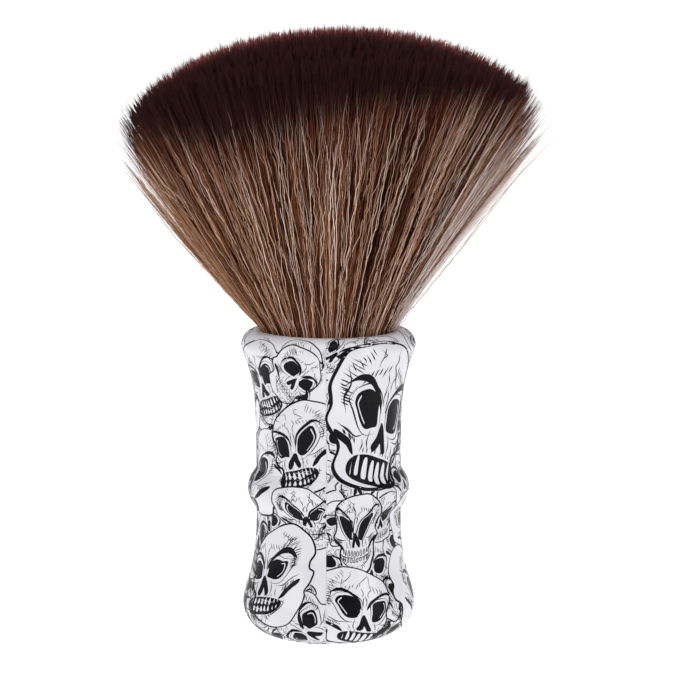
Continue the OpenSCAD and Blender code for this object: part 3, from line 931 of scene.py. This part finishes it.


# The crown: the trimmed ends of all the inner fibres, in small pointed tufts, dyed near black.
# Along the ridge, where the tips stand most open, their ends are painted pale pink, a painted glow of light
# shining through them from behind.
crown_fibre = Finish("crown_fibre_painted_glow_tips", Specular_IOR_Level=0.1)
spots = crown_fibre.add("UVMap", {"uv_map": "OFBake"})
grain = crown_fibre.noise(crown_fibre.stretch(spots, (220, 26, 1)), 1.0, 2)
from_tip = crown_fibre.add("SeparateXYZ", {}, {0: spots}, output=1) + (grain - 0.5) * 0.01
# The pale pink at the very tip is painted glow; further down, the tips are dyed near black.
crown_fibre.show(
    Base_Color=crown_fibre.ramp(from_tip, [(0.0, tint(214, 152, 148)), (0.009, tint(150, 84, 82)),
                                           (0.026, tint(72, 31, 31)), (0.04, tint(52, 22, 21)),
                                           (0.12, tint(43, 18, 18))]),
    Roughness=grain * 0.2 + 0.45,
)
tufts, per_tuft = 1650, 5
# How far down the map the tips away from the ridge begin, so that they show no painted glow.
dark_tip_lift = 3.6 * MM
for index in range(3):
    rng = np.random.default_rng(70 + index)
    lock = np.arange(tufts * per_tuft) % tufts
    turn = rng.uniform(0, 2 * np.pi, tufts)[lock]
    share = np.sqrt(rng.random(tufts))[lock] * np.interp(np.abs(np.cos(turn)), [0.85, 0.97], [0.995, 0.945])
    short = rng.normal(0.15 * MM, 0.45 * MM, tufts)[lock] + np.abs(rng.normal(0, 0.45 * MM, len(lock)))
    end = np.clip(share * np.abs(np.cos(turn)), 0.4, 1) ** 3
    stands_out = rng.random(len(lock)) < 0.1 + 0.15 * end
    short -= np.where(stands_out, rng.uniform(0.3, 1.1, len(lock)) * (1 + 1.4 * end), 0) * MM
    line, _ = fibre_lines(turn, share, 3, short, low=0.93)
    scatter = rng.normal(0, 0.42 * MM, (len(lock), 1, 3))
    line = line + scatter * np.linspace(1, 0.35, 3)[None, :, None] * (1, 1, 0)
    # Painted glow: tips near the ridge start at the pink end of the map, the others start lower, in the dark
    # dye.
    ridge_glow = np.exp(-(share * np.sin(turn) / 0.55) ** 2) * np.clip(1.3 - (share * np.cos(turn)) ** 4, 0, 1)
    ridge_glow = ridge_glow * np.clip(rng.normal(0.98, 0.17, len(lock)), 0, 1)
    fibre_mesh(f"crown_tips_{'abc'[index]}", line, np.linalg.norm(line[:, -1] - line[:, 0], axis=-1),
               rng.uniform(0.065, 0.11, len(lock)) * MM, brown_tone(turn, rng), -dark_tip_lift * (1 - ridge_glow),
               crown_fibre, 0.15)


# The pale crimped fibres that lie over the flanks. Most come out between the brown ones only
# part of the way up, and a few cross the others.
silver_fibre = fibre_finish("silver_crimped_fibre", [
    (0.0, tint(140, 86, 58)), (0.35, tint(188, 138, 110)), (0.65, tint(228, 188, 162)),
    (1.0, tint(252, 232, 218))], 0.1)


def surface(line, emerge, dive):
    """Pulls each fibre's lower stretch in towards the fan's axis, up to where it comes out."""
    t = np.linspace(0, 1, line.shape[1])[None, :]
    hidden = 1 - np.clip((t - emerge[:, None] + 0.12) / 0.12, 0, 1)
    return line * np.stack([1 - dive * hidden, 1 - dive * hidden, 1 + 0 * hidden], -1)


for index, side in enumerate(("front", "back")):
    rng = np.random.default_rng(90 + index)
    count = 410
    low, high = ((-np.pi, 0.0), (0.0, np.pi))[index]
    turn = even_turns(count, rng, low - 0.15, high + 0.15)
    short = np.abs(rng.normal(0, 5 * MM, count)) + 2 * MM
    stray = np.where(rng.random(count) < 0.12, rng.normal(0, 0.3, count), rng.normal(0, 0.035, count))
    line, length = fibre_lines(turn, rng.uniform(0.997, 1.015, count), 58, short, turn + stray)
    crimp = rng.uniform(0.1, 0.36, (count, 1)) * MM
    line = sway(line, turn, np.arange(count), crimp, 6.2 * MM, 1.4 * MM, rng)
    line = surface(line, rng.uniform(-0.3, 0.9, count), 0.09)
    bold = rng.random(count) < 0.22
    # The right-hand flanks are darkened here too, as painted shade.
    tone = np.clip(rng.normal(0.42, 0.25, count) + 0.4 * bold - 0.15 * right_flank_shade(turn), 0.0, 1.0)
    thick = rng.uniform(0.038, 0.06, count) * np.where(bold, 1.55, 1)
    piece = fibre_mesh(f"silver_fibres_{side}", line, length, thick * MM, tone, dye_depth(turn) - short,
                       silver_fibre)
    if side == "front":
        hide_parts("silver_fibre_layer")


# Loose pale fibres along the fan's two narrow sides, standing a little off it: golden ones on
# the left, more and whiter ones on the right with a thin haze beyond them, and a few strays.
fringe_fibre = fibre_finish("pale_fringe_fibre", [
    (0.0, tint(128, 80, 44)), (0.4, tint(190, 138, 98)), (0.7, tint(232, 212, 202)),
    (1.0, tint(255, 250, 250))], 0.12)


def side_fringe(name, seed, count, middle, width, stand, short, tones, emerge, crimp=0.16, wander=0.6):
    """Fibres that start round the angle middle, stand off the fan by a share of its size, and come out
    between the brown ones at a share of their length."""
    rng = np.random.default_rng(seed)
    turn = middle + rng.normal(0, width, count)
    lower = rng.uniform(*short, count) * MM
    outward = 1 + rng.uniform(*stand, count)
    line, length = fibre_lines(turn, outward, 60, lower, turn + rng.normal(0, 0.08, count))
    line = sway(line, turn, np.arange(count), crimp * MM, 5.5 * MM, wander * MM, rng)
    line = surface(line, rng.uniform(*emerge, count), 0.06)
    fibre_mesh(name, line, length, rng.uniform(0.03, 0.08, count) * MM, rng.uniform(*tones, count),
               dye_depth(turn) - lower, fringe_fibre, 0.1)


# name, seed, count, middle, width, stand, shortness in millimetres, tones, where it comes out,
# and for some the crimp and the wander in millimetres
side_fringe("fringe_right", 110, 110, -0.06, 0.2, (-0.005, 0.03), (0, 20), (0.5, 1.0), (-0.2, 0.7), 0.24, 0.8)
side_fringe("fringe_right_tips", 112, 100, -0.12, 0.42, (-0.012, 0.02), (-2.0, 6), (0.4, 1.0),
            (0.4, 0.85), 0.2)
side_fringe("fringe_left", 111, 110, np.pi + 0.05, 0.22, (-0.01, 0.035), (1, 18), (0.0, 0.5), (-0.2, 0.6))
side_fringe("haze_right", 115, 70, 0.0, 0.2, (0.02, 0.065), (3, 26), (0.8, 1.0), (-0.2, 0.5), 0.12, 0.8)
side_fringe("stray_right", 113, 9, -0.05, 0.12, (0.03, 0.11), (-2, 12), (0.3, 0.9), (0.1, 0.5), 0.3, 2.5)
side_fringe("stray_left", 114, 8, np.pi, 0.12, (0.0, 0.06), (4, 30), (0.1, 0.7), (0.1, 0.5), 0.45, 3.0)


# Closing: the view layer is brought up to date
bpy.context.view_layer.update()
